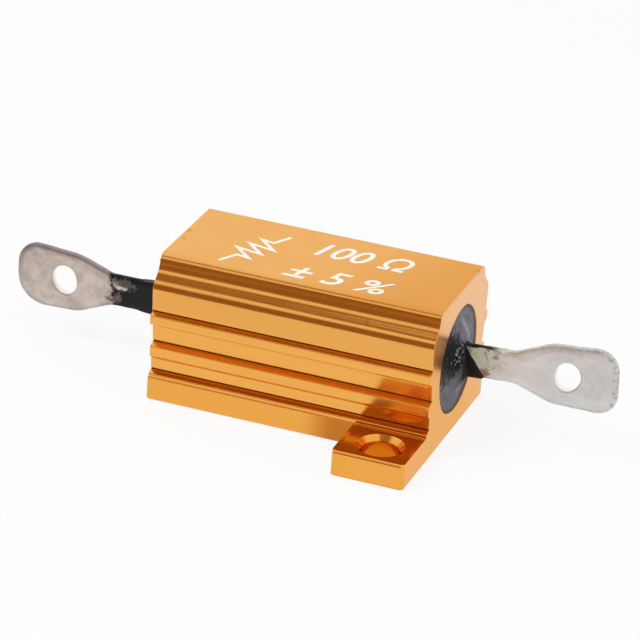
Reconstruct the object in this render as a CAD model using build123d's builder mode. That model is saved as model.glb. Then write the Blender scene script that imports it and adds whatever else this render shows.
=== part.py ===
"""An aluminium-cased wirewound resistor of the 10 watt size, with a solder lug at each end.

Millimetres. +X runs along the bore, +Z is up, and the origin is the middle of the flat mounting face.
The front is -Y: its ear is at the right-hand end, and the back's ear is at the left-hand end.
"""

import os
from math import cos, radians, sin

from build123d import *

# Housing, overall
BODY_LENGTH = 19.05
BODY_HEIGHT = 9.9
FLANGE_WIDTH = 19.4
FLANGE_THICKNESS = 1.72

# Housing, cross-section: drops are taken from the roof, every reach or inset from the side wall,
# and each rise from an even spacing of the two ribs up the wall
WALL_WIDTH = 9.96
ROOF_INSET = 0.78
NECK_INSET = 0.54
NECK_DROP = 1.0
NOSE_REACH = 0.34
NOSE_DROP = 1.8
UPPER_RIB_RISE = 0.16
UPPER_RIB_REACH = 0.47
LOWER_RIB_RISE = 0.05
LOWER_RIB_REACH = 0.3
RIB_SLOPE = 0.43
RIB_HEIGHT = 0.88
RIB_UNDERCUT = 0.26
BEAD_HEIGHT = 0.4
BEAD_REACH = 0.47
GROOVE_HEIGHT = 0.14
GROOVE_DEPTH = 0.12
ROOF_RADIUS = 0.55
NECK_RADIUS = 1.1
NOSE_RADIUS = 0.9
RIB_RADIUS = 0.12
SMALL_RADIUS = 0.04

# Housing, bore and ears
BORE_RADIUS = 3.57
BORE_DROP = 0.03
EAR_LENGTH = 4.85
EAR_EDGE_RADIUS = 0.25
TRIM_REACH = 0.6
FRONT_ROLL_RADIUS = 0.7
BACK_ROLL_RADIUS = 0.3
HOLE_RADIUS = 1.2
HOLE_CHAMFER = 0.36
HOLE_FROM_END = 2.275
HOLE_FROM_EDGE = 2.05

# Wound element
CORE_RADIUS = 2.5
CORE_RECESS = 3.325
WIRE_DIAMETER = 0.26
WIRE_PITCH = 0.56
WIRE_CLEARANCE = 0.02
CAP_DEPTH = 1.6
CAP_WALL = 0.35

# Terminals: flat straps with a paddle at the outer end
STRAP_THICKNESS = 0.6
NECK_WIDTH = 2.22
PADDLE_LENGTH = 6.8
PADDLE_END_WIDTH = 4.54
PADDLE_SHOULDER = 2.4
PADDLE_SHOULDER_WIDTH = 4.14
PADDLE_ROOT_RADIUS = 1.2
PADDLE_SHOULDER_RADIUS = 2.5
PADDLE_CORNER_RADIUS = 1.4
LUG_HOLE_RADIUS = 1.0
LUG_HOLE_FROM_END = 3.3
RIGHT_STRAP_LENGTH = 13.62
RIGHT_STRAP_TILT = 2.8
LEFT_STRAP_LENGTH = 14.75
LEFT_STRAP_DROP = 0.35

# Potting compound
POTTING_RECESS = 0.12
COLLAR_FOOT_RADIUS = 2.6
COLLAR_RISE = 0.8
COAT_THICKNESS = 0.08
RIGHT_COAT_LENGTH = 1.45
LEFT_COAT_LENGTH = 4.35

# The bore's axis lies just under mid-height
BORE_HEIGHT = BODY_HEIGHT / 2 - BORE_DROP

# Where the pieces meet along the bore
END_X = BODY_LENGTH / 2
CORE_END_X = END_X - CORE_RECESS
CAP_RIM_X = CORE_END_X - CAP_DEPTH
CAP_FACE_X = CORE_END_X + CAP_WALL
POTTING_X = END_X - POTTING_RECESS
CAP_RADIUS = CORE_RADIUS + CAP_WALL


def half_section():
    """Corners of the housing's outline on its +Y side, each with the radius that rounds it.

    They run from the foot up to the roof. A narrow groove runs along the foot of each stretch of wall.
    """
    wall = WALL_WIDTH / 2
    bead_top = FLANGE_THICKNESS + BEAD_HEIGHT
    nose = BODY_HEIGHT - NOSE_DROP
    rib_spacing = (nose - bead_top) / 3
    lower_rib_top = bead_top + rib_spacing + LOWER_RIB_RISE
    upper_rib_top = bead_top + 2 * rib_spacing + UPPER_RIB_RISE
    corners = [
        ((FLANGE_WIDTH / 2, 0), 0),
        ((FLANGE_WIDTH / 2, FLANGE_THICKNESS), 0),
        ((wall + BEAD_REACH, FLANGE_THICKNESS), SMALL_RADIUS),
        ((wall, bead_top), 0),
        ((wall - GROOVE_DEPTH, bead_top + GROOVE_HEIGHT / 2), SMALL_RADIUS),
        ((wall, bead_top + GROOVE_HEIGHT), 0),
    ]
    for top, reach in ((lower_rib_top, LOWER_RIB_REACH), (upper_rib_top, UPPER_RIB_REACH)):
        corners += [
            ((wall, top - RIB_HEIGHT - RIB_UNDERCUT), SMALL_RADIUS),
            ((wall + reach, top - RIB_HEIGHT), SMALL_RADIUS),
            ((wall + reach - SMALL_RADIUS, top - RIB_SLOPE), RIB_RADIUS),
            ((wall, top), 0),
            ((wall - GROOVE_DEPTH, top + GROOVE_HEIGHT / 2), SMALL_RADIUS),
            ((wall, top + GROOVE_HEIGHT), 0),
        ]
    return corners + [
        ((wall + NOSE_REACH, nose), NOSE_RADIUS),
        ((wall - NECK_INSET, BODY_HEIGHT - NECK_DROP), NECK_RADIUS),
        ((wall - ROOF_INSET, BODY_HEIGHT), ROOF_RADIUS),
    ]


# Housing: an extrusion with a bore, its flange trimmed back to two drilled ears
with BuildPart() as housing:
    with BuildSketch(Plane.YZ.offset(-END_X)):
        with BuildLine():
            section = half_section()
            points = [(0, 0)] + [point for point, _ in section] + [(0, BODY_HEIGHT)]
            FilletPolyline(*points, radius=[radius for _, radius in section])
            mirror(about=Plane.YZ)
        make_face()
        with Locations((0, BORE_HEIGHT)):
            Circle(BORE_RADIUS, mode=Mode.SUBTRACT)
    extrude(amount=BODY_LENGTH)

    trim_start = WALL_WIDTH / 2 + TRIM_REACH
    trim_depth = FLANGE_WIDTH / 2 - trim_start
    with BuildSketch(Plane.XY):
        for side in (-1, 1):
            with Locations((side * EAR_LENGTH / 2, side * (trim_start + trim_depth / 2))):
                Rectangle(BODY_LENGTH - EAR_LENGTH, trim_depth)
    extrude(amount=FLANGE_THICKNESS, mode=Mode.SUBTRACT)

    foot_edges = housing.faces().sort_by(Axis.Z)[0].edges().filter_by(Axis.X).sort_by(Axis.Y)
    fillet(foot_edges[1], FRONT_ROLL_RADIUS)
    fillet(foot_edges[2], BACK_ROLL_RADIUS)
    for ear_face in (housing.faces().sort_by(Axis.Y)[0], housing.faces().sort_by(Axis.Y)[-1]):
        foot_edge = ear_face.edges().sort_by(Axis.Z)[0]
        fillet([edge for edge in ear_face.edges() if edge != foot_edge], EAR_EDGE_RADIUS)

    hole_x, hole_y = END_X - HOLE_FROM_END, FLANGE_WIDTH / 2 - HOLE_FROM_EDGE
    with Locations((hole_x, -hole_y, FLANGE_THICKNESS), (-hole_x, hole_y, FLANGE_THICKNESS)):
        CounterSinkHole(HOLE_RADIUS, HOLE_RADIUS + HOLE_CHAMFER, FLANGE_THICKNESS, 90)

# Ceramic core: a plain round rod
with BuildPart() as ceramic_core:
    with BuildSketch(Plane.YZ.offset(-CORE_END_X)):
        with Locations((0, BORE_HEIGHT)):
            Circle(CORE_RADIUS)
    extrude(amount=2 * CORE_END_X)

# Resistance wire: one open winding that lies on the core between the two cap rims
with BuildPart() as resistance_wire:
    winding_length = 2 * CAP_RIM_X - WIRE_DIAMETER
    with BuildLine() as winding:
        Helix(
            WIRE_PITCH,
            winding_length,
            CORE_RADIUS + WIRE_CLEARANCE + WIRE_DIAMETER / 2,
            center=(-winding_length / 2, 0, BORE_HEIGHT),
            direction=(1, 0, 0),
        )
    with BuildSketch(Plane(origin=winding.line @ 0, z_dir=winding.line % 0)):
        Circle(WIRE_DIAMETER / 2)
    sweep(path=winding.line, is_frenet=True)


def end_cap(side):
    """A pressed cup on the core's end, closed outwards; side is -1 at the left and 1 at the right."""
    with BuildPart() as cap:
        outwards = Plane(origin=(side * CAP_RIM_X, 0, BORE_HEIGHT), z_dir=(side, 0, 0))
        with BuildSketch(outwards):
            Circle(CAP_RADIUS)
        extrude(amount=CAP_DEPTH + CAP_WALL)
        with BuildSketch(outwards):
            Circle(CORE_RADIUS)
        extrude(amount=CAP_DEPTH, mode=Mode.SUBTRACT)
    return cap


end_cap_left = end_cap(-1)
end_cap_right = end_cap(1)


def strap_seat(side, height, tilt):
    """The upright plane of a strap: its origin on the cap's face, local x outwards along the strap."""
    lean = radians(tilt)
    return Plane(
        origin=(side * CAP_FACE_X, 0, height),
        x_dir=(side * cos(lean), 0, sin(lean)),
        z_dir=(0, -side, 0),
    )


def terminal(seat, side, length):
    """A flat strap: a narrow neck from the cap's face, then a flared paddle with a solder hole."""
    neck, start = NECK_WIDTH / 2, length - PADDLE_LENGTH
    with BuildPart() as strap:
        with BuildSketch(seat):
            with BuildLine():
                FilletPolyline(
                    (-NECK_WIDTH, 0),
                    (-NECK_WIDTH, neck),
                    (start, neck),
                    (start + PADDLE_SHOULDER, PADDLE_SHOULDER_WIDTH / 2),
                    (length, PADDLE_END_WIDTH / 2),
                    (length, 0),
                    radius=[0, PADDLE_ROOT_RADIUS, PADDLE_SHOULDER_RADIUS, PADDLE_CORNER_RADIUS],
                )
                mirror(about=Plane.XZ)
            make_face()
            with Locations((length - LUG_HOLE_FROM_END, 0)):
                Circle(LUG_HOLE_RADIUS, mode=Mode.SUBTRACT)
        extrude(amount=STRAP_THICKNESS / 2, both=True)
        # The inner end is cut square to the bore, flat against the cap.
        split(bisect_by=Plane(origin=(side * CAP_FACE_X, 0, 0), z_dir=(side, 0, 0)), keep=Keep.TOP)
    return strap


right_seat = strap_seat(1, BORE_HEIGHT, RIGHT_STRAP_TILT)
left_seat = strap_seat(-1, BORE_HEIGHT - LEFT_STRAP_DROP, 0)
terminal_right = terminal(right_seat, 1, RIGHT_STRAP_LENGTH)
terminal_left = terminal(left_seat, -1, LEFT_STRAP_LENGTH)

# Potting compound: fills the bore round the element, rises in a collar round each strap
# and coats part of the neck
with BuildPart() as potting:
    with BuildSketch(Plane.YZ):
        with Locations((0, BORE_HEIGHT)):
            Circle(BORE_RADIUS)
    extrude(amount=POTTING_X, both=True)

    for seat, coat_length in ((right_seat, RIGHT_COAT_LENGTH), (left_seat, LEFT_COAT_LENGTH)):
        along = Plane(origin=seat.origin, x_dir=seat.y_dir, z_dir=seat.x_dir)
        foot = along.offset(POTTING_X - CAP_FACE_X - COAT_THICKNESS)
        top = foot.offset(COLLAR_RISE)
        coat_size = (NECK_WIDTH + 2 * COAT_THICKNESS, STRAP_THICKNESS + 2 * COAT_THICKNESS)
        with BuildSketch(foot):
            Circle(COLLAR_FOOT_RADIUS)
        with BuildSketch(top):
            RectangleRounded(*coat_size, radius=2 * COAT_THICKNESS)
        loft()
        with BuildSketch(foot):
            RectangleRounded(*coat_size, radius=2 * COAT_THICKNESS)
        extrude(amount=coat_length + POTTING_RECESS + COAT_THICKNESS)

    with BuildSketch(Plane.YZ):
        with Locations((0, BORE_HEIGHT)):
            Circle(CORE_RADIUS + WIRE_DIAMETER + 2 * WIRE_CLEARANCE)
    extrude(amount=CAP_RIM_X, both=True, mode=Mode.SUBTRACT)
    for inner in (ceramic_core, end_cap_left, end_cap_right, terminal_left, terminal_right):
        add(inner.part, mode=Mode.SUBTRACT)

# One file for each piece
pieces = {
    "housing": housing,
    "ceramic_core": ceramic_core,
    "resistance_wire": resistance_wire,
    "end_cap_left": end_cap_left,
    "end_cap_right": end_cap_right,
    "terminal_left": terminal_left,
    "terminal_right": terminal_right,
    "potting": potting,
}
os.makedirs("parts", exist_ok=True)
for name, piece in pieces.items():
    piece.part.label = name
    export_step(piece.part, f"parts/{name}.step")
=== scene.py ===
# %% [markdown]
# # Dressing a small aluminium-cased resistor
# The construction is finished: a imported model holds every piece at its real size. This lesson
# gives that model its looks. It loads the frame, sets up the camera and the light, and then works
# through the gold housing, its white print, the dark compound in the bore and the two tinned
# lugs. Each surface is worked out with numpy, and each finish is a graph of shader nodes.

# %% Load the fixed frame
import math

import bmesh
import bpy
import numpy as np
from mathutils import Matrix, Vector


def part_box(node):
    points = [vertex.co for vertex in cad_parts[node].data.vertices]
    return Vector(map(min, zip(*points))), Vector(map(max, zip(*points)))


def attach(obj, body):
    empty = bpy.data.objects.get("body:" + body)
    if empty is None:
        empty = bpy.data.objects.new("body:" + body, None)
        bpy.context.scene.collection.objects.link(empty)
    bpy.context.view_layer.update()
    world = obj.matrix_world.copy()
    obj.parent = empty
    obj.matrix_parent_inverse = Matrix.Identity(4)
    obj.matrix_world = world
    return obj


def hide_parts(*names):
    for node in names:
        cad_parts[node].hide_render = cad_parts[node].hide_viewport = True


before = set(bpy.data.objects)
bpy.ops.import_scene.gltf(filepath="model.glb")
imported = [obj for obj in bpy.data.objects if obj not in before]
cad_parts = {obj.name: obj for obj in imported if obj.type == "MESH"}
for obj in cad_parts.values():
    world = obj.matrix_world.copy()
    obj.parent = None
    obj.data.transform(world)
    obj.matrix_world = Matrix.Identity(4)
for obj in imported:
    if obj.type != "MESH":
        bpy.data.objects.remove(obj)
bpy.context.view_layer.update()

MM = 0.001
print("CAD nodes:", sorted(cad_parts))

# %% [markdown]
# ## The camera
# The object was seen from the front, a little from the right and from above, through a long lens.
# A long lens far away keeps parallel edges nearly parallel, so the place and the lens go together:
# changing one without the other changes the shape of the picture, and not only its size. The small
# roll is the tilt of the camera about its own line of sight.

# %% Set the camera by azimuth, elevation and roll
AZIMUTH, ELEVATION, ROLL = (math.radians(angle) for angle in (19.304, 25.478, 3.715))
DISTANCE = 241.767
AIM = (0.016, 0.0, 5.55)
LENS = 211.0

towards_camera = Vector((
    math.sin(AZIMUTH) * math.cos(ELEVATION),
    -math.cos(AZIMUTH) * math.cos(ELEVATION),
    math.sin(ELEVATION),
))
turn = towards_camera.to_track_quat("Z", "Y").to_matrix() @ Matrix.Rotation(ROLL, 3, "Z")
camera = bpy.data.objects.new("camera", bpy.data.cameras.new("camera"))
stand = (Vector(AIM) + towards_camera * DISTANCE) * MM
camera.matrix_world = Matrix.Translation(stand) @ turn.to_4x4()
camera.data.lens = LENS
camera.data.clip_start = 0.01
bpy.context.scene.collection.objects.link(camera)
bpy.context.scene.camera = camera
bpy.context.scene.view_settings.view_transform = "Standard"
print("camera at", [round(value, 4) for value in camera.matrix_world.translation])

# %% [markdown]
# ## Shader sums in plain Python
# A finish is arithmetic on positions: how far a point is from an edge, whether it lies in a groove,
# how strong the noise is there. Wiring that by hand takes dozens of Math nodes. A small class that
# wraps a socket and overloads the operators lets us write the sum, and the nodes appear behind it.

# %% A socket that can stand in a sum
class Value:
    """A node's output. Each operator adds one Math node to the same graph and gives its output."""

    def __init__(self, graph, socket):
        self.graph, self.socket = graph, socket

    def math(self, operation, *others):
        inputs = dict(enumerate((self, *others)))
        return self.graph.node("ShaderNodeMath", {"operation": operation}, inputs)

    def __add__(self, other):
        return self.math("ADD", other)

    def __sub__(self, other):
        return self.math("SUBTRACT", other)

    def __rsub__(self, other):
        return self.math("MULTIPLY_ADD", -1.0, other)

    def __mul__(self, other):
        return self.math("MULTIPLY", other)

    def __abs__(self):
        return self.math("ABSOLUTE")

    def larger(self, other):
        return self.math("MAXIMUM", other)

    def rise(self, start, end):
        """0 up to start, 1 from end on, and a smooth step between them."""
        inputs = {"Value": self, "From Min": start, "From Max": end}
        return self.graph.node("ShaderNodeMapRange", {"interpolation_type": "SMOOTHSTEP"}, inputs)

    def within(self, low, high, soft):
        """1 between low and high, 0 outside, with edges 2 x soft wide."""
        return self.rise(low - soft, low + soft) * (1.0 - self.rise(high - soft, high + soft))

    __radd__ = __add__
    __rmul__ = __mul__


# %% A graph of nodes, made by one method
def shade(red, green, blue):
    """A colour as a screen shows it, 0 to 255, turned into the linear values that nodes use."""
    part = np.array([red, green, blue]) / 255
    return (*np.where(part <= 0.04045, part / 12.92, ((part + 0.055) / 1.055) ** 2.4), 1.0)


class Graph:
    """The node tree of a material or a world."""

    def __init__(self, owner):
        owner.use_nodes = True
        self.tree = owner.node_tree
        self.tree.nodes.clear()

    def node(self, kind, settings=None, inputs=None, output=0):
        """Adds one node. Its settings come first, because some of them change its sockets."""
        made = self.tree.nodes.new(kind)
        for name, value in (settings or {}).items():
            setattr(made, name, value)
        for name, value in (inputs or {}).items():
            if isinstance(value, Value):
                self.tree.links.new(value.socket, made.inputs[name])
            else:
                made.inputs[name].default_value = value
        return Value(self, made.outputs[output]) if made.outputs else None

    def mix(self, factor, first, second):
        """A colour between two colours."""
        inputs = {0: factor, 6: first, 7: second}
        return self.node("ShaderNodeMix", {"data_type": "RGBA"}, inputs, output=2)

    def place(self):
        """Object coordinates in millimetres, as a vector and as its three parts."""
        metres = self.node("ShaderNodeTexCoord", output=3)
        vector = self.node("ShaderNodeVectorMath", {"operation": "SCALE"}, {0: metres, "Scale": 1 / MM})
        parts = [
            self.node("ShaderNodeSeparateXYZ", inputs={0: vector}, output=axis) for axis in range(3)]
        return vector, parts

    def noise(self, vector, scale, detail=3.0, stretch=(1, 1, 1), roughness=0.5):
        """Smooth noise about 0.5; the scale is in cycles per millimetre, stretched along the axes."""
        sized = self.node("ShaderNodeMapping", inputs={"Vector": vector, "Scale": stretch})
        inputs = {"Vector": sized, "Scale": scale, "Detail": detail, "Roughness": roughness}
        return self.node("ShaderNodeTexNoise", {"noise_dimensions": "3D"}, inputs)

    def bump(self, height, depth, normal=None):
        """A normal tilted as if the surface rose by depth millimetres where height is 1."""
        inputs = {"Height": height, "Distance": depth * MM, "Strength": 1.0}
        if normal:
            inputs["Normal"] = normal
        return self.node("ShaderNodeBump", inputs=inputs)


def finish(name, build):
    """A material whose Principled shader takes the sockets that build(graph) gives."""
    material = bpy.data.materials.new(name)
    graph = Graph(material)
    surface = graph.node("ShaderNodeBsdfPrincipled", inputs=build(graph))
    graph.node("ShaderNodeOutputMaterial", inputs={"Surface": surface})
    print(f"finish {name}: {len(graph.tree.nodes)} nodes")
    return material


# %% [markdown]
# ## A bright room with two dark boards
# Polished metal has almost no colour pattern of its own. What we see on it is the room, tinted gold.
# In a room that is white all over, the mouldings of the housing would vanish. Product photographers
# stand dark boards round the object for this, so that each curve mirrors a crisp dark stripe. The
# boards here are seen only by mirror-like rays. The white room is seen by the camera and in the
# metal, while a dimmer, even light falls on matt surfaces, so that colours render as written.

# %% Light the room
ROOM_LIGHT = 0.62


def light_room():
    """White to the camera and in reflections; ROOM_LIGHT on everything that scatters light."""
    graph = Graph(bpy.context.scene.world)
    paths = [graph.node("ShaderNodeLightPath", output=name) for name in (
        "Is Camera Ray", "Is Glossy Ray", "Is Transmission Ray")]
    seen = paths[0].larger(paths[1]).larger(paths[2])
    lit = graph.node("ShaderNodeBackground", inputs={"Color": (1, 1, 1, 1), "Strength": ROOM_LIGHT})
    white = graph.node("ShaderNodeBackground", inputs={"Color": (1, 1, 1, 1), "Strength": 1.0})
    mixed = graph.node("ShaderNodeMixShader", inputs={0: seen, 1: lit, 2: white})
    graph.node("ShaderNodeOutputWorld", inputs={"Surface": mixed})


if bpy.context.scene.world is None:
    bpy.context.scene.world = bpy.data.worlds.new("room")
light_room()


def lamp(name, place, size, watts):
    """A square soft light at a place in millimetres, aimed at the object, that no metal mirrors."""
    light = bpy.data.lights.new(name, "AREA")
    light.size, light.energy = size * MM, watts
    thing = bpy.data.objects.new(name, light)
    thing.visible_glossy = False
    place = Vector(place)
    aim = (place - Vector(AIM)).to_track_quat("Z", "Y").to_matrix().to_4x4()
    thing.matrix_world = Matrix.Translation(place * MM) @ aim
    bpy.context.scene.collection.objects.link(thing)


lamp("key_light", (-180, -160, 330), 150, 0.75)
lamp("side_light", (330, -120, 130), 120, 0.35)

# %% The dark boards
BOARD_DISTANCE = 300.0
BOARD_BEARING = -19.0
BOARD_STEPS = 25


def board(name, low, high, half_width, tone):
    """A curved board on the front side that fills the elevations from low to high, in degrees."""
    elevation = np.radians([low, high])[:, None]
    bearing = np.radians(BOARD_BEARING + np.linspace(-half_width, half_width, BOARD_STEPS))[None, :]
    flat = np.cos(elevation)
    points = BOARD_DISTANCE * MM * np.stack([
        np.sin(bearing) * flat, -np.cos(bearing) * flat, np.sin(elevation) + 0 * bearing], -1)
    start = np.arange(BOARD_STEPS - 1)
    quads = np.stack([start, start + 1, start + 1 + BOARD_STEPS, start + BOARD_STEPS], -1)
    mesh = bpy.data.meshes.new(name)
    mesh.from_pydata(points.reshape(-1, 3).tolist(), [], quads.tolist())
    thing = bpy.data.objects.new(name, mesh)
    bpy.context.scene.collection.objects.link(thing)
    material = bpy.data.materials.new(name)
    graph = Graph(material)
    glow = graph.node("ShaderNodeEmission", inputs={"Color": shade(*tone), "Strength": 1.0})
    graph.node("ShaderNodeOutputMaterial", inputs={"Surface": glow})
    mesh.materials.append(material)
    thing.visible_camera = thing.visible_diffuse = thing.visible_shadow = False
    thing.visible_transmission = False


BOARD_BROWN = (160, 118, 74)
board("front_board", 0.02, 35.0, 36.0, BOARD_BROWN)
board("upper_board", 54.0, 66.0, 50.0, BOARD_BROWN)

# %% The floor
FLOOR_SIZE = 900.0
FLOOR_WHITENESS = 0.88


def floor_finish():
    """Mostly white by itself to the camera and in mirrors, so that only a soft shadow is left."""
    material = bpy.data.materials.new("pale_floor")
    graph = Graph(material)
    camera_ray = graph.node("ShaderNodeLightPath", output="Is Camera Ray")
    glossy_ray = graph.node("ShaderNodeLightPath", output="Is Glossy Ray")
    glow = graph.node("ShaderNodeEmission", inputs={"Color": (1, 1, 1, 1), "Strength": 1.0})
    matt = graph.node("ShaderNodeBsdfDiffuse", inputs={"Color": (0.86, 0.86, 0.86, 1)})
    share = camera_ray.larger(glossy_ray) * FLOOR_WHITENESS
    mixed = graph.node("ShaderNodeMixShader", inputs={0: share, 1: matt, 2: glow})
    graph.node("ShaderNodeOutputMaterial", inputs={"Surface": mixed})
    return material


half = FLOOR_SIZE / 2 * MM
floor_mesh = bpy.data.meshes.new("floor")
floor_corners = [(-half, -half, 0), (half, -half, 0), (half, half, 0), (-half, half, 0)]
floor_mesh.from_pydata(floor_corners, [], [(0, 1, 2, 3)])
floor_mesh.materials.append(floor_finish())
floor = bpy.data.objects.new("floor", floor_mesh)
bpy.context.scene.collection.objects.link(floor)
print("floor:", FLOOR_SIZE, "mm square")

# %% [markdown]
# ## Surfaces as grids of points
# Every new piece here is a grid: rows of points that numpy works out in one go, joined by quads.
# A grid that wraps one way is a tube and one that wraps both ways is a ring. Where rows fall on
# each other, as at a pole or along a wall, the doubled points are welded afterwards, and then the
# faces are turned to look outwards. The work is done in millimetres, because an exact Boolean loses
# faces that are microns wide when they are written in metres, and the finished mesh is scaled.

# %% From a grid to a mesh object
WELD = 2e-4


def skin(name, points, wrap_rows=False, caps=False, rim=None):
    """Quads between neighbours in an array of rows by columns by xyz; the columns always wrap.

    The rim is a number for each row, which the mesh keeps for its finish to read.
    """
    rows, columns = points.shape[:2]
    index = np.arange(rows * columns).reshape(rows, columns)
    ends = [index[0].tolist(), index[-1].tolist()] if caps else []
    if wrap_rows:
        index = np.vstack([index, index[:1]])
    index = np.hstack([index, index[:, :1]])
    quads = np.stack([index[:-1, :-1], index[1:, :-1], index[1:, 1:], index[:-1, 1:]], -1)
    mesh = bpy.data.meshes.new(name)
    mesh.from_pydata(points.reshape(-1, 3).tolist(), [], quads.reshape(-1, 4).tolist() + ends)
    if rim is not None:
        kept = mesh.attributes.new("rim", "FLOAT", "POINT")
        kept.data.foreach_set("value", np.repeat(rim, columns))
    work = bmesh.new()
    work.from_mesh(mesh)
    bmesh.ops.remove_doubles(work, verts=work.verts, dist=WELD)
    bmesh.ops.recalc_face_normals(work, faces=work.faces)
    work.to_mesh(mesh)
    work.free()
    thing = bpy.data.objects.new(name, mesh)
    bpy.context.scene.collection.objects.link(thing)
    return thing


def in_metres(thing):
    """Scales the mesh itself, so that the object stays unscaled at the origin."""
    thing.data.transform(Matrix.Scale(MM, 4))
    return thing


def baked(thing):
    """The thing with its modifiers applied to its mesh."""
    shape = thing.evaluated_get(bpy.context.evaluated_depsgraph_get())
    mesh = bpy.data.meshes.new_from_object(shape)
    thing.modifiers.clear()
    thing.data = mesh
    return thing


def soften(thing, angle):
    """Smooth shading except across edges sharper than the angle, with large flats kept flat."""
    thing.data.shade_smooth()
    thing.data.set_sharp_from_angle(angle=math.radians(angle))
    weighted = thing.modifiers.new("flat_faces_lead", "WEIGHTED_NORMAL")
    weighted.keep_sharp = True
    return thing


def report(thing):
    """Prints the size of a mesh, and how many of its edges don't join exactly two faces."""
    mesh = thing.data
    used = np.empty(len(mesh.loops), int)
    mesh.loops.foreach_get("edge_index", used)
    faces_at = np.bincount(used, minlength=len(mesh.edges))
    print(f"{thing.name}: {len(mesh.polygons)} faces, {(faces_at != 2).sum()} open edges")


# %% [markdown]
# ## The housing: one extruded section
# The real body is sawn from an aluminium extrusion. Its section has a flat roof, a cove and a nose
# under each roof edge, two ribs with a narrow groove above each, and a base flange. The flange is
# milled away except for two ears on one diagonal, and the ears are drilled. A box with cuts would
# give that, but the crisp highlights come from small radii that a box lacks. So the section is an
# outline with a radius at every corner, repeated at stations along the body, and where the flange
# is milled away its two outer corners simply move in.

# %% Read the body's size from the frame
low, high = (np.array(corner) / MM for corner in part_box("housing"))
BODY_LENGTH, FLANGE_WIDTH, BODY_HEIGHT = high - low
END_X = BODY_LENGTH / 2
INK_ROOM = 0.012
ROOF = BODY_HEIGHT - INK_ROOM
print("housing", np.round(high - low, 3), "mm")

# %% Round every corner of an outline
def rounded(corners, radii, steps=9):
    """Outlines with round corners, as whole arrays.

    A corner P that turns by the angle a with radius R is round between the points A and B, which
    lie R tan(a/2) from it. With w = cos(a/2) the arc is the weighted mean of A, P and B with the
    weights (1-u)^2, 2wu(1-u) and u^2, which is a true circle.
    """
    before = np.roll(corners, 1, axis=-2) - corners
    after = np.roll(corners, -1, axis=-2) - corners
    before /= np.linalg.norm(before, axis=-1, keepdims=True)
    after /= np.linalg.norm(after, axis=-1, keepdims=True)
    half_turn = np.arccos(np.clip(-(before * after).sum(-1), -1, 1)) / 2
    reach = (radii * np.tan(half_turn))[..., None]
    u = np.linspace(0, 1, steps)[:, None]
    shares = [(1 - u) ** 2, 2 * u * (1 - u) * np.cos(half_turn)[..., None, None], u ** 2]
    points = [corners + before * reach, corners, corners + after * reach]
    total = sum(share * point[..., None, :] for share, point in zip(shares, points))
    return (total / sum(shares)).reshape(*corners.shape[:-2], -1, 2)


# %% The section's corners
WALL = 4.98
FLANGE_TOP = 1.72
BEAD_HEIGHT = 0.4
GROOVE = (0.12, 0.14)
RIB_HEIGHT, RIB_UNDERCUT = 0.84, 0.26
LEDGE_SLOPE = math.tan(math.radians(22))
NOSE = (0.38, 1.8)
NECK = (0.54, 1.0)
ROOF_INSET = 0.78
FINE = 0.035
bead_top = FLANGE_TOP + BEAD_HEIGHT
LEDGES = (
    (bead_top, 0.5, 0.12, 0.0),
    (bead_top + 1.9, 0.42, 0.0, 0.14),
    (bead_top + 4.22, 0.6, 0.27, 0.1),
)
GROOVES = [top - step * LEDGE_SLOPE for top, _, step, _ in LEDGES]
RIB_FOOT_RADIUS, RIB_EDGE_RADIUS = 0.06, 0.08
NOSE_RADIUS, ROOF_RADIUS = 1.1, 0.62


def half_corners(edge, foot_radius, top_radius):
    """Corners of one side from foot to roof: across, up and radius, for each station.

    A ledge falls outwards from its groove. It is given by its height at the wall, how far it
    reaches out, how far out the face above it starts, and how far out the face below it ends.
    """
    rows = [(edge, 0, foot_radius), (edge, FLANGE_TOP, top_radius)]
    for number, (top, reach, step, under) in enumerate(LEDGES):
        start = top - step * LEDGE_SLOPE
        if number == 0:
            rows += [(WALL + reach, FLANGE_TOP, FINE)]
        else:
            rows += [
                (WALL + under, top - RIB_HEIGHT - RIB_UNDERCUT, RIB_FOOT_RADIUS),
                (WALL + reach, top - RIB_HEIGHT, RIB_EDGE_RADIUS),
            ]
        rows += [
            (WALL + reach, top - reach * LEDGE_SLOPE, RIB_EDGE_RADIUS),
            (WALL + step, start, FINE),
            (WALL + step - GROOVE[0], start + GROOVE[1] / 2, FINE),
            (WALL + step, start + GROOVE[1], FINE),
        ]
    rows += [
        (WALL + NOSE[0], BODY_HEIGHT - NOSE[1], NOSE_RADIUS),
        (WALL - NECK[0], BODY_HEIGHT - NECK[1], NOSE_RADIUS),
        (WALL - ROOF_INSET, ROOF, ROOF_RADIUS),
    ]
    stations = [np.broadcast_arrays(edge, *row)[1:] for row in rows]
    return np.array(stations).transpose(2, 0, 1)


# %% Stations along the body
EAR_LENGTH = 4.85
EAR_RADIUS, EAR_TOP_RADIUS = 0.3, 0.2
TRIM = WALL + 0.6
END_RADIUS = 0.03
STEP = 1e-4
ear_start = END_X - EAR_LENGTH


def round_off(distance, radius):
    """How far a surface has drawn back at a distance from its edge: R - sqrt(R^2 - (R - d)^2)."""
    inside = np.clip(1 - distance / radius, 0, 1)
    return radius * (1 - np.sqrt(1 - inside ** 2))


def flange_edge(x):
    """How far the flange reaches: milled back to TRIM, or out to the ear with its rounded corners."""
    ear = FLANGE_WIDTH / 2 - round_off(np.minimum(x - ear_start, END_X - x), EAR_RADIUS)
    return np.where(x < ear_start, TRIM, ear)


arc = 1 - np.cos(np.linspace(0, np.pi / 2, 7))
right_half = np.concatenate([
    [ear_start - STEP], ear_start + EAR_RADIUS * arc,
    END_X - EAR_RADIUS * arc, END_X - END_RADIUS * arc])
stations = np.unique(np.round(np.concatenate([-right_half, right_half]), 6))
print(len(stations), "stations")

# %% Sweep the section, and pull each end's rim in a little
FOOT_ROLL = (0.45, 0.3)
CRISP = 0.05


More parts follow.
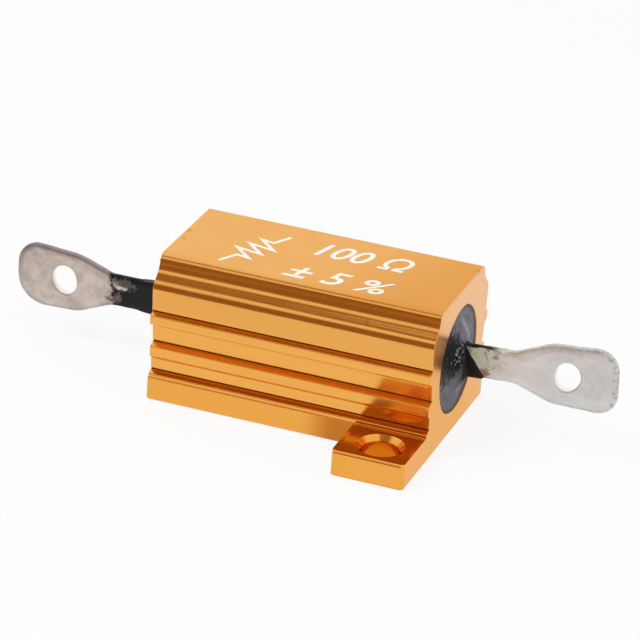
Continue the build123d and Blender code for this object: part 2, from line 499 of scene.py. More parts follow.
def side_corners(x, roll):
    """One side's corners: a rolled foot where the flange is milled away, a crisp one at the ear."""
    milled = x < ear_start
    foot, top = np.where(milled, roll, CRISP), np.where(milled, CRISP, EAR_TOP_RADIUS)
    return half_corners(flange_edge(x), foot, top)


def housing_grid(x):
    """Rings of the outer surface at each station, counter-clockwise as seen from +X."""
    front, back = side_corners(x, FOOT_ROLL[0]), side_corners(-x, FOOT_ROLL[1])
    ring = np.concatenate([back, front[:, ::-1] * (-1, 1, 1)], axis=1)
    outline = rounded(ring[..., :2], ring[..., 2])
    along = np.roll(outline, -1, axis=1) - np.roll(outline, 1, axis=1)
    along /= np.linalg.norm(along, axis=-1, keepdims=True)
    inwards = np.stack([-along[..., 1], along[..., 0]], -1)
    outline = outline + inwards * round_off(END_X - np.abs(x), END_RADIUS)[:, None, None]
    return np.concatenate([np.broadcast_to(x[:, None, None], (*outline.shape[:2], 1)), outline], -1)


housing = skin("gold_housing", housing_grid(stations), caps=True)
report(housing)

# %% [markdown]
# ## Drilling it
# The bore and the two screw holes are turned shapes: a radius that changes along an axis. Each is
# made as a closed solid and taken away with an exact Boolean, which leaves clean edges in flat
# faces. The mouths get a small chamfer, as a deburring tool leaves.

# %% Turned cutters
BORE_RADIUS = 3.57
BORE_Z = BODY_HEIGHT / 2 - 0.03
HOLE_RADIUS, HOLE_CHAMFER = 1.2, 0.36
HOLE_X, HOLE_Y = END_X - 2.275, FLANGE_WIDTH / 2 - 2.05
BURR = 0.06
OVERSHOOT = 0.5
BORE_SIDES, HOLE_SIDES = 128, 72


def turned(name, profile, centre, axis, columns):
    """A closed solid of revolution: the profile gives place along the axis and radius."""
    along, radius = np.array(profile, float).T
    angle = np.linspace(0, 2 * np.pi, columns, endpoint=False)
    across = radius[:, None] * np.stack([np.cos(angle), np.sin(angle)])[:, None, :]
    parts = [np.broadcast_to(along[:, None], across[0].shape), *across]
    order = {"X": (0, 1, 2), "Z": (1, 2, 0)}[axis]
    return skin(name, np.stack([parts[i] for i in order], -1) + np.array(centre))


far = END_X + OVERSHOOT
mouth = BORE_RADIUS + BURR + OVERSHOOT
bore = turned("bore", [
    (-far, 0), (-far, mouth), (BURR - END_X, BORE_RADIUS),
    (END_X - BURR, BORE_RADIUS), (far, mouth), (far, 0),
], (0, 0, BORE_Z), "X", BORE_SIDES)
hole_profile = [
    (-OVERSHOOT, 0), (-OVERSHOOT, HOLE_RADIUS + BURR + OVERSHOOT), (BURR, HOLE_RADIUS),
    (FLANGE_TOP - HOLE_CHAMFER, HOLE_RADIUS),
    (FLANGE_TOP + OVERSHOOT, HOLE_RADIUS + HOLE_CHAMFER + OVERSHOOT), (FLANGE_TOP + OVERSHOOT, 0),
]
screw_holes = [
    turned(f"screw_hole_{number}", hole_profile, (side * HOLE_X, -side * HOLE_Y, 0), "Z", HOLE_SIDES)
    for number, side in enumerate((1, -1))]

for cutter in (bore, *screw_holes):
    cut = housing.modifiers.new(cutter.name, "BOOLEAN")
    cut.operation, cut.solver, cut.object = "DIFFERENCE", "EXACT", cutter
baked(housing)
for cutter in (bore, *screw_holes):
    bpy.data.objects.remove(cutter)
soften(in_metres(housing), 32)
report(housing)

# %% [markdown]
# ## The gold finish
# Gold anodising is a dyed, clear oxide on bright aluminium, so the Principled shader is fully
# metallic and the dye is its base colour. The roof was blasted before anodising and is satin; the
# sides kept the smooth lines that the die drew along them; the sawn ends took less dye and are
# paler. Light that bounces twice in a corner passes the dye twice, which turns gold into orange.
# Some light and shade is painted into the base colour as well: dark shade in the grooves, orange
# shade in the screw holes, and a brown reflection of each ear on the base beside it.

# %% Work out a metal's own colour from the colour it shows
EDGE_TINT = (1.0, 0.95, 0.74)
STEEP = 1 / 7


def metal(red, green, blue, facing):
    """The base colour that shows as the given one where the cosine to the viewer is facing.

    A metal pales towards a grazing view, c being the cosine: F(c) = base + (1 - base) (1 - c)^5.
    The shader holds the paling back by its edge tint t at c = 1/7, so it shows
    F(c) - k F(1/7), with k = (1 - t) c (1 - c)^6 / (1/7 (6/7)^6). That is solved for the base.
    """
    pale, steep_pale = (1 - facing) ** 5, (1 - STEEP) ** 5
    held = (1 - np.array(EDGE_TINT)) * facing * (1 - facing) ** 6 / (STEEP * (1 - STEEP) ** 6)
    shown = np.array(shade(red, green, blue)[:3])
    base = (shown - pale + held * steep_pale) / (1 - pale - held * (1 - steep_pale))
    return (*np.clip(base, 0, 1), 1.0)


# %% An oval patch
def oval(across, up, centre, rates):
    """The squared distance from a centre, where each direction counts rates times."""
    across, up = (across - centre[0]) * rates[0], (up - centre[1]) * rates[1]
    return across * across + up * up


# %% Paint the anodising by place
ROOF_GOLD = metal(240, 182, 108, facing=towards_camera.z)
ROOF_DEEP = metal(231, 164, 86, facing=towards_camera.z)
SIDE_GOLD = metal(234, 168, 84, facing=-towards_camera.y)
RIB_GOLD = metal(240, 174, 84, facing=-towards_camera.y)
BASE_GOLD = metal(238, 168, 76, facing=-towards_camera.y)
END_GOLD = metal(243, 196, 151, facing=towards_camera.x)
END_DEEP = metal(244, 182, 112, facing=towards_camera.x)
# The next two colours are painted shade: dark brown for the grooves, orange for the screw holes.
GROOVE_SHADE_BROWN, HOLE_SHADE_ORANGE = shade(130, 66, 12), shade(214, 114, 16)
# A painted reflection of each ear on the base's front beside it.
EAR_REFLECTION_BROWN = shade(176, 92, 24)
ROOF_SPOTS = ((9.45, 3.0, 0.16), (-9.3, 0.0, 0.2), (-9.15, -1.3, 0.14))


def anodised(graph):
    place, (x, y, z) = graph.place()
    side = abs(y)
    end = abs(x).rise(END_X - 0.03, END_X - 0.01)
    roof = z.rise(BODY_HEIGHT - 0.3, BODY_HEIGHT - 0.04)
    near_wall = side.within(WALL - 0.2, WALL + 0.5, 0.02) * (1.0 - end)

    lines = [z.within(top + 0.02, top + GROOVE[1] - 0.02, 0.02) for top in GROOVES]
    groove = lines[0].larger(lines[1]).larger(lines[2])
    hole_x, hole_y = abs(x) - HOLE_X, side - HOLE_Y
    hole = 1.0 - (hole_x * hole_x + hole_y * hole_y).rise(1.5, 1.62)

    blotches = graph.noise(place, 0.4, detail=5.0, roughness=0.6)
    grain = graph.noise(place, 9.0, detail=2.0)
    drawn = graph.noise(place, 4.0, detail=4.0, stretch=(0.02, 1, 1), roughness=0.6)
    base = graph.mix(z.rise(1.6, 1.9), BASE_GOLD, graph.mix(z.rise(6.2, 6.5), RIB_GOLD, SIDE_GOLD))
    base = graph.mix(drawn.rise(0.4, 0.75) * 0.22, base, shade(224, 150, 66))
    top = graph.mix((x - y * 0.4).rise(-1.0, 10.0), ROOF_GOLD, ROOF_DEEP)
    top = graph.mix(blotches.rise(0.45, 0.75) * 0.3, top, shade(228, 158, 84))
    top = graph.mix(grain.rise(0.62, 0.75) * 0.25, top, shade(214, 140, 66))
    base = graph.mix(roof, base, top)
    # The grooves are painted dark brown as shade.
    base = graph.mix(near_wall * groove, base, GROOVE_SHADE_BROWN)
    # Inside the screw holes the walls are painted orange: painted shade and a painted reflection of the
    # gold walls in each other.
    base = graph.mix(hole, base, HOLE_SHADE_ORANGE)
    # On the milled base's front, just before each ear, a brown reflection of the ear is painted.
    towards_ear = x * y.math("SIGN") * -1.0
    milled = towards_ear.rise(1.0, 3.4) * (1.0 - z.rise(1.62, 1.74))
    milled = milled * side.within(5.3, 5.63, 0.06) * (1.0 - end)
    base = graph.mix(milled * 0.75, base, EAR_REFLECTION_BROWN)
    face = graph.mix((z + x.math("SIGN") * y * 0.8).rise(1.4, 9.2), END_DEEP, END_GOLD)
    base = graph.mix(end, base, face)

    for spot_x, spot_y, size in ROOF_SPOTS:
        away = oval(x, y, (spot_x, spot_y), (1 / size, 1 / size))
        spot = 1.0 - (away + (grain - 0.5)).rise(0.5, 1.3)
        base = graph.mix(spot * roof * 0.4, base, shade(160, 100, 46))

    height = drawn * (1.0 - roof) * (1.0 - end) + (grain * 0.7 + blotches) * roof
    rough = 0.12 + 0.18 * roof + 0.12 * end + 0.08 * blotches
    return {
        "Base Color": base, "Metallic": 1.0, "Roughness": rough, "Specular Tint": (*EDGE_TINT, 1.0),
        "Normal": graph.bump(height, 0.005),
    }


housing.data.materials.clear()
housing.data.materials.append(finish("gold_anodising", anodised))

# %% [markdown]
# ## White print on the roof
# A pad-printed mark is a film of white ink a few microns thick. Here it says only what any resistor
# may say: the zigzag sign of its kind, a round value and a tolerance. The digits are text turned
# into a mesh and then laid down; the sign is a ribbon of even width along a zigzag line. Both are
# given the ink's thickness, so that they are solid bodies and not loose faces.

# %% Lay the print out
INK_BOTTOM, INK_TOP = ROOF - 0.002, BODY_HEIGHT
INK_LINES = (("100 \u03a9", (-1.35, 0.35), 2.75, 0.95), ("\u00b1 5 %", (-1.7, -3.45), 2.75, 1.06))
SLANT, WEIGHT = 0.3, 0.03


def printed_line(words, corner, size, stretch):
    """One line of slanted, heavy type as a mesh on the roof, from its lower left corner."""
    curve = bpy.data.curves.new("words", "FONT")
    curve.body, curve.size, curve.shear, curve.offset = words, size, SLANT, WEIGHT
    curve.extrude = (INK_TOP - INK_BOTTOM) / 2
    text = bpy.data.objects.new("words", curve)
    bpy.context.scene.collection.objects.link(text)
    shape = text.evaluated_get(bpy.context.evaluated_depsgraph_get())
    mesh = bpy.data.meshes.new_from_object(shape)
    bpy.data.objects.remove(text)
    laid = Matrix.Translation((*corner, (INK_TOP + INK_BOTTOM) / 2))
    mesh.transform(laid @ Matrix.Diagonal((stretch, 1, 1, 1)))
    return mesh


def ribbon(path, width):
    """A solid strip along a path: each point moves half a width along its mitre, both ways."""
    way = np.diff(path, axis=0)
    way /= np.linalg.norm(way, axis=1, keepdims=True)
    first, last = np.vstack([way[:1], way]), np.vstack([way, way[-1:]])
    across = np.stack([-(first + last)[:, 1], (first + last)[:, 0]], -1)
    across /= np.linalg.norm(across, axis=1, keepdims=True)
    mitre = (across * np.stack([-last[:, 1], last[:, 0]], -1)).sum(1, keepdims=True)
    reach = across * width / 2 / mitre
    left, right = path + reach, path - reach
    ring = [(left, INK_BOTTOM), (right, INK_BOTTOM), (right, INK_TOP), (left, INK_TOP)]
    return np.stack([np.column_stack([side, np.full(len(side), z)]) for side, z in ring], 1)


SIGN_CENTRE = np.array([-4.45, -0.65])
SIGN_LEAN = math.radians(-28)
SIGN_WIDTH, SIGN_HALF_HEIGHT, SIGN_TEETH = 0.24, 3.05, 6
TOOTH, TEETH_END, LEAD_END = 0.85, 1.3, 1.55
tooth = np.arange(SIGN_TEETH)
zigzag = np.vstack([
    [0, -SIGN_HALF_HEIGHT], [0, -LEAD_END],
    np.column_stack([
        np.where(tooth % 2, -TOOTH, TOOTH), np.linspace(-TEETH_END, TEETH_END, SIGN_TEETH)]),
    [0, LEAD_END], [0, SIGN_HALF_HEIGHT]])
cosine, sine = math.cos(SIGN_LEAN), math.sin(SIGN_LEAN)
lean = np.array([[cosine, sine], [-sine, cosine]])
sign = skin("white_print", ribbon(zigzag @ lean + SIGN_CENTRE, SIGN_WIDTH), caps=True)

joined = bmesh.new()
joined.from_mesh(sign.data)
for line in INK_LINES:
    joined.from_mesh(printed_line(*line))
bmesh.ops.remove_doubles(joined, verts=joined.verts, dist=WELD)
bmesh.ops.recalc_face_normals(joined, faces=joined.faces)
joined.to_mesh(sign.data)
joined.free()
in_metres(sign)
report(sign)

# %% [markdown]
# ### The ink's finish
# Printing ink is matt and nearly white. A pad lays it on a little thinner in places, and there the
# gold shines through. Noise picks those places and mixes in a warmer white, which is simpler than a
# see-through film and looks the same at this size.

# %% Mix the ink
INK_WHITE, INK_THIN = shade(246, 243, 234), shade(240, 226, 204)


def inked(graph):
    place, _ = graph.place()
    wear = graph.noise(place, 3.0, detail=6.0, roughness=0.7)
    base = graph.mix(wear.rise(0.52, 0.75), INK_WHITE, INK_THIN)
    return {"Base Color": base, "Roughness": 0.5 + 0.2 * wear, "Normal": graph.bump(wear, 0.004)}


sign.data.materials.append(finish("white_ink", inked))

# %% [markdown]
# ## The compound in the bore
# A dark moulding compound fills the bore round the wound element. It sags a little below the rim,
# is drawn up round the strap like a tent round its pole, and goes on along the neck as a thin coat
# with a ragged edge. One tube-like grid can be all of that: its rings start as small rounded
# rectangles on the left neck, open to the round bore, and close again on the right neck.

# %% Where the straps run
CORE_INSET, CAP_THICKNESS = 3.325, 0.35
CAP_FACE_X = END_X - CORE_INSET + CAP_THICKNESS
STRAP_THICKNESS, NECK_WIDTH = 0.6, 2.22
STRAPS = {
    "left": {
        "side": -1, "height": BORE_Z - 0.35, "tilt": 0.0, "length": 14.75, "corners": (1.5, 2.0),
        "shoulders": (1.95, 2.14), "hole": 0.93, "inwards": 0.12},
    "right": {
        "side": 1, "height": BORE_Z, "tilt": math.radians(2.8), "length": 13.62, "corners": (1.4, 1.4),
        "shoulders": (2.07, 2.07), "hole": 0.91, "inwards": 0.0},
}
COMPOUND_X = END_X - 0.12
COLUMNS = 144
around = np.linspace(0, 2 * np.pi, COLUMNS, endpoint=False)
wave = np.random.default_rng(4)


def ripple(strength, waves=9):
    """A sum of sines with random sizes and starts that closes on itself round a ring."""
    number = np.arange(1, waves + 1)[:, None]
    size = wave.normal(size=(waves, 1)) / np.sqrt(number)
    start = wave.uniform(0, 2 * np.pi, (waves, 1))
    return strength * (size * np.sin(number * around + start)).sum(0)


def rounded_box(half_y, half_z, power):
    """Points of a superellipse |y/a|^n + |z/b|^n = 1 at evenly spread directions."""
    across, up = np.cos(around), np.sin(around)
    radius = (np.abs(across / half_y) ** power + np.abs(up / half_z) ** power) ** (-1 / power)
    return np.stack([radius * across, radius * up], -1)


COAT = 0.05
neck_ring = rounded_box(STRAP_THICKNESS / 2 + COAT, NECK_WIDTH / 2 + COAT, 7)
level = neck_ring[:, 1] / neck_ring[:, 1].max()


# %% One end of the compound
BORE_GAP = 0.005
TENT_RINGS, COAT_RINGS = 48, 26
MENISCUS_HEIGHT, MENISCUS_WIDTH = 0.07, 0.06


def compound_end(strap, tent, coat_end, fade):
    """Rings from the bore's rim up the tent and along the coat, as arrays of x, y and z.

    Over the tent a ring is (1 - s) x circle + s x neck outline, and it stands tent x s^2.4 proud.
    Along the coat it shrinks by 0.3 w^fade, so that the coat dips into the strap near its end.
    """
    side, height, tilt = strap["side"], strap["height"], strap["tilt"]
    circle = (BORE_RADIUS - BORE_GAP) * np.stack([np.cos(around), np.sin(around)], -1)

    s = np.linspace(0, 1, TENT_RINGS)[:, None]
    crease, fine_crease = ripple(0.08, waves=5), ripple(0.012, waves=18)
    rim = MENISCUS_HEIGHT * np.exp(-((s / MENISCUS_WIDTH) ** 2))
    swell = s * (1 - s) * 4
    proud = tent * s ** 2.4 + (crease * 0.5 + fine_crease) * swell + rim
    tent_x = COMPOUND_X + proud - CAP_FACE_X
    drop = height - BORE_Z + math.tan(tilt) * tent_x
    tent_yz = (1 - s[..., None]) * circle + s[..., None] * neck_ring
    tent_z = tent_yz[..., 1] + s * drop

    w = np.sin(np.pi / 2 * np.linspace(0, 1, COAT_RINGS))[1:, None]
    start = tent_x[-1]
    coat_x = start + w * np.maximum(coat_end - CAP_FACE_X - start, 0.02)
    coat_yz = (1 - 0.3 * w ** fade)[..., None] * neck_ring
    coat_z = coat_yz[..., 1] + height - BORE_Z + math.tan(tilt) * coat_x

    x = np.concatenate([tent_x, coat_x]) + CAP_FACE_X
    y = np.concatenate([tent_yz[..., 0], coat_yz[..., 0]])
    z = np.concatenate([tent_z, coat_z]) + BORE_Z
    return np.stack([side * x, y, z], -1)


RIGHT_COAT_MIDDLE, RIGHT_COAT_SLANT = 10.7, 0.75
LEFT_COAT_END = 13.2
right_coat_end = RIGHT_COAT_MIDDLE - RIGHT_COAT_SLANT * level + ripple(0.03)
right_end = compound_end(STRAPS["right"], 0.7 - 0.2 * level, right_coat_end, 20)
left_end = compound_end(STRAPS["left"], 0.8 + 0 * level, LEFT_COAT_END + ripple(0.12), 5)
compound = skin("dark_compound", np.concatenate([left_end[::-1], right_end]), caps=True)
in_metres(compound).data.shade_smooth()
report(compound)

# %% [markdown]
# ### The compound's finish
# Cured compound is dull grey with pits where bubbles broke, and black and glossy where it wetted
# the strap. One mask says how wet a point is, and colour, roughness and relief all follow that mask,
# so that the three stay together as they do on the real thing. Light and shade are painted in too:
# pale highlight streaks, white glints in the wet part, and black shade in the pits and in a ring
# along the bore wall. The grey is darker towards the bottom.

# %% Mix the compound
COMPOUND_GREY, COMPOUND_LOW = shade(106, 105, 118), shade(90, 86, 92)
COMPOUND_BLACK = shade(12, 11, 13)
DULL_SHINE = 0.22


def streak(y, z, start, end, width):
    """1 on the line between two points of the end plane, fading to 0 at a width from it."""
    way = np.subtract(end, start)
    length = np.linalg.norm(way)
    way = way / length
    along = (y - start[0]) * way[0] + (z - start[1]) * way[1]
    aside = (y - start[0]) * way[1] - (z - start[1]) * way[0]
    return along.within(0, length, width) * (1.0 - abs(aside).rise(0, width))


def moulded(graph):
    place, (x, y, z) = graph.place()
    speckle = graph.noise(place, 2.6, detail=5.0, roughness=0.6)
    fine = graph.noise(place, 9.0, detail=3.0)
    ripples = graph.noise(place, 4.5, detail=4.0, roughness=0.7)
    cells = graph.node("ShaderNodeTexVoronoi", {"feature": "F1"}, {"Vector": place, "Scale": 1.9})
    pit = 1.0 - cells.rise(0.03, 0.14)
    on_neck = abs(x).rise(COMPOUND_X + 0.35, COMPOUND_X + 0.7)

    near = 1.0 - oval(y, z, (-2.1, 5.8), (0.46, 0.5))
    wet = (near + (speckle - 0.5) * 2.6).rise(-0.1, 0.55) * x.rise(0, 1)
    wet = wet.larger(on_neck)
    # Two pale streaks are painted highlights.
    painted_highlight = streak(y, z, (0.3, 7.6), (2.1, 5.5), 0.4)
    painted_highlight = painted_highlight.larger(streak(y, z, (-0.5, 2.9), (1.2, 3.3), 0.35))
    root = 1.0 - oval(y, z, (-0.5, 5.7), (0.9, 1.1)).rise(0.1, 1.2)

    rim_y, rim_z = y * (1 / BORE_RADIUS), (z - BORE_Z) * (1 / BORE_RADIUS)
    rim = (rim_y * rim_y + rim_z * rim_z).rise(0.84, 0.98)
    # The grey is darker towards the bottom.
    grey = graph.mix(z.rise(1.8, 5.0), COMPOUND_LOW, COMPOUND_GREY)
    base = graph.mix(speckle.rise(0.35, 0.75), grey, shade(66, 64, 74))
    base = graph.mix(painted_highlight * 0.65, base, shade(156, 154, 162))
    # Black where the compound is wet, and a ring along the bore wall painted black as shade in the
    # corner.
    base = graph.mix(wet.larger(rim * 0.75), base, COMPOUND_BLACK)
    # The pits are painted black as the shade inside them.
    base = graph.mix(pit * 0.85, base, COMPOUND_BLACK)
    # White specks in the wet part, most near the strap's root, are painted glints.
    painted_glint = (ripples + root * 0.1).rise(0.63, 0.68) * fine.rise(0.48, 0.58) * (wet - on_neck)
    base = graph.mix(painted_glint * 0.85, base, shade(206, 206, 202))
    rough = 0.45 - 0.32 * wet + 0.1 * fine
    height = speckle * 0.8 + fine * 0.25 - pit * 0.7 + (wet - on_neck) * ripples * 2.2
    return {
        "Base Color": base, "Roughness": rough, "Specular IOR Level": DULL_SHINE,
        "Normal": graph.bump(height, 0.07),
    }


compound.data.materials.append(finish("moulding_compound", moulded))

# %% [markdown]
# ## The lugs
# Each terminal is stamped from strip: a narrow neck, a flared paddle and a hole for the wire. Then it
# is dipped in tin, which rounds the edges and leaves a soft, uneven skin. The whole strap is one
# ring-shaped grid round its hole. A column runs out from the hole to the outline, over the edge,
# back underneath and up through the hole.

# %% Strap outlines
PADDLE_LENGTH = 6.8
LUG_HOLE_FROM_END = 3.3
PADDLE = {"end": 4.54, "shoulder": 2.4}
EDGE_RADIUS = 0.15
STRAP_COLUMNS = 240


def strap_outline(strap):
    """The strap's closed outline, evenly spaced, with its outward normals."""
    neck, end, length = NECK_WIDTH / 2, PADDLE["end"] / 2, strap["length"]
    root = length - PADDLE_LENGTH
    upper, lower = [[
        (0, up * neck, 0.1), (root, up * neck, 1.2),
        (root + PADDLE["shoulder"], up * shoulder, 2.5), (length, up * end, corner),
    ] for up, shoulder, corner in zip((1, -1), strap["shoulders"], strap["corners"])]
    corners = np.array(upper + lower[::-1])
    outline = rounded(corners[:, :2], corners[:, 2])
    closed = np.vstack([outline, outline[:1]])
    travelled = np.concatenate([[0], np.cumsum(np.linalg.norm(np.diff(closed, axis=0), axis=1))])
    even = np.linspace(0, travelled[-1], STRAP_COLUMNS, endpoint=False)
    outline = np.stack([np.interp(even, travelled, closed[:, axis]) for axis in (0, 1)], -1)
    along = np.roll(outline, -1, axis=0) - np.roll(outline, 1, axis=0)
    along /= np.linalg.norm(along, axis=1, keepdims=True)
    return outline, np.stack([-along[:, 1], along[:, 0]], -1)


def uneven(s, t, seed, wavelength=6.0):
    """A gentle waviness over the strap: eight plane waves of random direction, size and start."""
    random = np.random.default_rng(seed)
    direction = random.normal(size=(8, 2)) * (2 * np.pi / wavelength)
    start = random.uniform(0, 2 * np.pi, 8)
    size = random.uniform(0.3, 1, 8)
    phase = s[..., None] * direction[:, 0] + t[..., None] * direction[:, 1] + start
    return (size * np.sin(phase)).sum(-1) / 8


# %% Wrap the grid round the strap
RIM_THINNING = 0.3
HOLE_SQUASH, HOLE_WOBBLE = 0.08, 0.02


def strap_grid(strap, seed):
    """Rows go round the strap's cross-section and columns go round its outline.

    Half its thickness is T/2 x (1 - thinning x b^3), where b is 0 at the hole and 1 at the rim.
    The grid comes with b for each of its rows.
    """
    length, side, tilt = strap["length"], strap["side"], strap["tilt"]
    outline, outwards = strap_outline(strap)
    nick = uneven(outline[:, 0], outline[:, 1], seed + 1, wavelength=2.5)
    outline = outline - outwards * (0.05 * np.abs(nick))[:, None]
    centre = np.array([length - LUG_HOLE_FROM_END - strap["inwards"], 0])
    spoke = outline - centre
    spoke /= np.linalg.norm(spoke, axis=1, keepdims=True)
    bearing = np.arctan2(spoke[:, 1], spoke[:, 0])
    hole_radius = strap["hole"] * (
        1 - HOLE_SQUASH * np.cos(2 * bearing + 0.5) + HOLE_WOBBLE * np.cos(3 * bearing))

    bend = np.linspace(-np.pi / 2, np.pi / 2, 9)
    inset = EDGE_RADIUS * (1 - np.cos(bend))
    rim_half = STRAP_THICKNESS / 2 * (1 - RIM_THINNING)
    rim_depth = np.sign(bend) * (rim_half - EDGE_RADIUS) + EDGE_RADIUS * np.sin(bend)
    hole_depth = np.sign(bend) * (STRAP_THICKNESS / 2 - EDGE_RADIUS) + EDGE_RADIUS * np.sin(bend)
    blend = np.linspace(0, 1, 30)[1:-1, None, None]
    half = STRAP_THICKNESS / 2 * (1 - RIM_THINNING * blend[:, 0, 0] ** 3)

    rim = outline - outwards * inset[:, None, None]
    hole = centre + spoke * (hole_radius[:, None] + inset[:, None, None])
    front = (1 - blend) * hole[0] + blend * rim[0]
    back = (1 - blend) * rim[-1] + blend * hole[-1]
    plane = np.concatenate([front, rim, back, hole[::-1]])
    s, t = plane[..., 0], plane[..., 1]
    y = np.concatenate([-half, rim_depth, half[::-1], hole_depth[::-1]])[:, None]
    free = np.clip((s - CAP_FACE_X + 2) / 3, 0, 1)
    y = y + (0.05 * uneven(s, t, seed) - 0.02) * free * (np.abs(y) > 0)
    y = np.clip(y, -STRAP_THICKNESS / 2, STRAP_THICKNESS / 2)
    x = CAP_FACE_X + s * math.cos(tilt) - t * math.sin(tilt)
    z = strap["height"] + s * math.sin(tilt) + t * math.cos(tilt)
    towards_rim = blend[:, 0, 0]
    return np.stack([side * x, y, z], -1), np.concatenate([
        towards_rim, np.ones(len(bend)), towards_rim[::-1], np.zeros(len(bend))])


lugs = {}
for seed, (name, strap) in enumerate(STRAPS.items()):
    grid, rim = strap_grid(strap, 20 + seed)
    lug = skin(f"tinned_lug_{name}", grid, wrap_rows=True, rim=rim)
    soften(in_metres(lug), 50)
    report(lug)
    lugs[name] = lug

# %% [markdown]
# ### The tinned finish
# Tin cools into soft, pale spangles, and handling adds scuffs and specks. Both lugs share that skin,
# with a painted reflection of the white room on the wall of each hole. On it each has its own
# history: flux and a rust spot on the right neck, black paint with patches of other tones and a
# painted highlight on the left one. Every mark is a mask from distances and noise that mixes one
# more colour in.

# %% Mix the tin
# Patches on the left neck: x, z, half length, half height, share and colour. The third, a small pale
# wedge, is a painted highlight.
NECK_PATCHES = (
    (-13.75, 5.1, 0.85, 0.42, 0.6, shade(112, 106, 96)),
    (-14.1, 4.1, 0.34, 0.3, 0.6, shade(146, 112, 106)),
    (-13.75, 4.86, 0.4, 0.12, 0.95, shade(204, 202, 194)),
    (-14.2, 5.0, 0.18, 0.12, 0.7, shade(186, 182, 128)),
)


def tin_skin(graph, place, y, rim, bright, warm, spangle):
    """The colour, roughness and height of handled tin: soft clouds, spangles, scuffs and specks."""
    cloud = graph.noise(place, 0.6, detail=6.0, roughness=0.62)
    grains = graph.noise(place, 1.25, detail=3.0, roughness=0.45)
    scuff = graph.noise(place, 1.9, detail=6.0, stretch=(0.9, 1, 1.1), roughness=0.7)
    speck = graph.noise(place, 7.0, detail=2.0)
    base = graph.mix(cloud.rise(0.35, 0.68), bright, warm)
    base = graph.mix(grains.rise(0.48, 0.64) * spangle, base, shade(170, 163, 163))
    base = graph.mix((1.0 - grains.rise(0.36, 0.5)) * spangle, base, shade(226, 210, 198))
    base = graph.mix(scuff.rise(0.56, 0.74) * 0.4, base, shade(158, 150, 146))
    base = graph.mix(speck.rise(0.7, 0.77) * 0.7, base, shade(112, 106, 102))
    # The wall of the hole is painted near white, as a painted reflection of the white room.
    hole_wall_reflection = (1.0 - rim.rise(0.0, 0.04)) * (1.0 - abs(y).rise(0.16, 0.27))
    base = graph.mix(hole_wall_reflection * 0.9, base, shade(252, 250, 248))
    rough = 0.36 + 0.16 * cloud + 0.1 * scuff
    return base, rough, cloud * 0.5 + scuff * 0.4 + speck * 0.15


def tinned_left(graph):
    place, (x, y, z) = graph.place()
    rim = graph.node("ShaderNodeAttribute", {"attribute_name": "rim"}, output="Fac")
    base, rough, height = tin_skin(
        graph, place, y, rim, shade(210, 199, 191), shade(196, 183, 173), 0.4)
    rag = graph.noise(place, 1.3, detail=5.0, roughness=0.6)
    upper_left = 1.0 - (x * 0.5 - z * 0.9 + (rag - 0.5) * 2.0).rise(-16.4, -14.0)
    tarnish = rim.rise(0.84, 1.0) * (0.25 + 0.4 * z.rise(4.4, 5.2)).larger(upper_left)
    base = graph.mix(tarnish * 0.75, base, shade(96, 96, 110))
    base = graph.mix(upper_left * 0.2, base, shade(136, 132, 136))
    fray = graph.noise(place, 3.4, detail=4.0, roughness=0.6)
    black = (x + (rag - 0.5) * 2.0 + (fray - 0.5) * 1.6).rise(-14.8, -14.2)
    base = graph.mix(black, base, COMPOUND_BLACK)
    # One of these patches is a painted highlight on the black neck.
    for patch_x, patch_z, long, high, share, colour in NECK_PATCHES:
        away = oval(x, z, (patch_x, patch_z), (1 / long, 1 / high))
        patch = 1.0 - (away + (fray - 0.5) * 6.0).rise(0.2, 1.7)
        base = graph.mix(patch * share, base, colour)
    return {
        "Base Color": base, "Metallic": 1.0 - black, "Roughness": rough - 0.15 * black,
        "Specular IOR Level": DULL_SHINE, "Normal": graph.bump(height + black * 0.1, 0.05),
    }


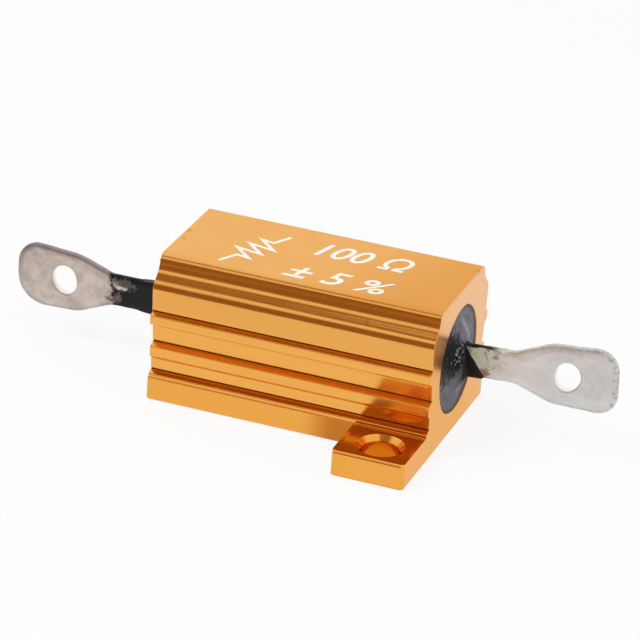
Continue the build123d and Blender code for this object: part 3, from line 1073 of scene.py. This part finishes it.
def tinned_right(graph):
    place, (x, y, z) = graph.place()
    rim = graph.node("ShaderNodeAttribute", {"attribute_name": "rim"}, output="Fac")
    base, rough, height = tin_skin(
        graph, place, y, rim, shade(217, 217, 216), shade(208, 206, 204), 0.12)
    base = graph.mix(x.within(12.2, 15.0, 1.2) * 0.5, base, shade(236, 232, 228))
    axis = z - BORE_Z - (x - CAP_FACE_X) * math.tan(STRAPS["right"]["tilt"])
    ragged = graph.noise(place, 1.4, detail=5.0, roughness=0.6)
    flux_grain = graph.noise(place, 2.6, detail=6.0, roughness=0.75)
    flux = 1.0 - (x - axis * 0.4 + (ragged - 0.5) * 4.5).rise(11.3, 12.8)
    base = graph.mix(flux * 0.7, base, shade(206, 204, 178))
    spotted = flux.rise(0.1, 0.6) * (flux_grain + axis * 0.03).rise(0.5, 0.62)
    base = graph.mix(spotted * 0.75, base, shade(104, 102, 66))
    away = oval(x, z, (11.3, 4.45), (2.4, 2.8))
    rust = 1.0 - (away + (flux_grain - 0.5) * 3.0).rise(0.3, 1.2)
    base = graph.mix(rust * 0.8, base, shade(150, 88, 44))
    slant = x + axis * (RIGHT_COAT_SLANT / (NECK_WIDTH / 2)) + (ragged - 0.5) * 0.3
    black = 1.0 - slant.rise(RIGHT_COAT_MIDDLE - 0.02, RIGHT_COAT_MIDDLE + 0.06)
    top_line = (axis + (ragged - 0.5) * 0.25).rise(0.95, 1.03) * (1.0 - (x + ragged).rise(12.2, 12.9))
    black = black.larger(top_line)
    base = graph.mix(black, base, COMPOUND_BLACK)
    dull = flux.larger(black)
    worn = rim.rise(0.86, 1.0) * (0.35 + 0.65 * x.rise(17.5, 20.0)) * flux_grain.rise(0.46, 0.6)
    base = graph.mix(worn * 0.55, base, shade(122, 119, 116))
    return {
        "Base Color": base, "Metallic": 1.0 - dull * 0.9, "Roughness": rough - 0.12 * black,
        "Specular IOR Level": DULL_SHINE, "Normal": graph.bump(height + flux_grain * flux * 0.6, 0.05),
    }


lugs["left"].data.materials.append(finish("tinned_strip_left", tinned_left))
lugs["right"].data.materials.append(finish("tinned_strip_right", tinned_right))

# %% [markdown]
# ## What is sealed inside
# The wound element can't be seen in the finished part, but it comes to light when someone hides the
# housing. Its CAD solids have the right shape, so they stay, and only get finishes.

# %% Finish the core, the winding and the caps
def plain_skin(colour, second, scale, metallic, rough):
    """A finish with soft clouds of a second colour and a fine grain."""
    def build(graph):
        place, _ = graph.place()
        cloud = graph.noise(place, scale, detail=4.0)
        grain = graph.noise(place, scale * 8, detail=2.0)
        return {
            "Base Color": graph.mix(cloud.rise(0.35, 0.7), colour, second), "Metallic": metallic,
            "Roughness": rough + 0.15 * cloud, "Normal": graph.bump(grain, 0.01),
        }
    return build


INNER_FINISHES = {
    "fired_ceramic": (
        ("ceramic_core",),
        plain_skin(shade(236, 233, 222), shade(222, 216, 202), 1.2, 0.0, 0.5)),
    "drawn_alloy": (
        ("resistance_wire",),
        plain_skin(shade(150, 144, 134), shade(118, 112, 104), 2.0, 1.0, 0.3)),
    "plated_steel": (
        ("end_cap_left", "end_cap_right"),
        plain_skin(shade(190, 190, 188), shade(160, 158, 152), 0.8, 1.0, 0.3)),
}
for name, (nodes, build) in INNER_FINISHES.items():
    material = finish(name, build)
    for node in nodes:
        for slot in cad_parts[node].material_slots:
            slot.material = material
        print(node, "gets", name)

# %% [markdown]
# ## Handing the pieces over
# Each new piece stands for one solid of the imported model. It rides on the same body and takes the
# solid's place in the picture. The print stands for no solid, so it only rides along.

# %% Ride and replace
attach(sign, "root")
for piece, node, slot in (
    (housing, "housing", "anodised_housing"),
    (compound, "potting", "potting_compound"),
    (lugs["left"], "terminal_left", "tinned_strap"),
    (lugs["right"], "terminal_right", "tinned_strap"),
):
    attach(piece, "root")
    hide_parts(node)
